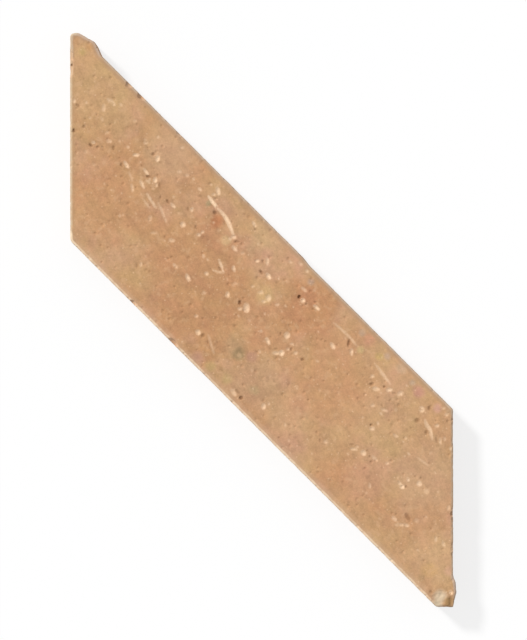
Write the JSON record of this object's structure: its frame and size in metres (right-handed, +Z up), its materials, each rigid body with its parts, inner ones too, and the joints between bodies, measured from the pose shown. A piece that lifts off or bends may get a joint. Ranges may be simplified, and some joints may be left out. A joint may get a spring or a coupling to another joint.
{
  "type": "herringbone tile",
  "caption": "Right-hand terracotta strip tile with mitred ends, for laying in a herringbone or chevron floor; crowned wear face, worn and flaked arrises, broken tips.",
  "frame": {"origin": "centre of the bedding face, on the surface that the tile rests on", "axes": "+X from the spine cut to the border cut, square to both; +Y along the cuts, up the spine towards the point of the pattern; +Z up, out of the wear face"},
  "size_m": [0.2142, 0.3182, 0.02],
  "materials": {
    "terracotta": "matte"
  },
  "bodies": {
    "root": {"tile": "terracotta"}
  },
  "joints": []
}
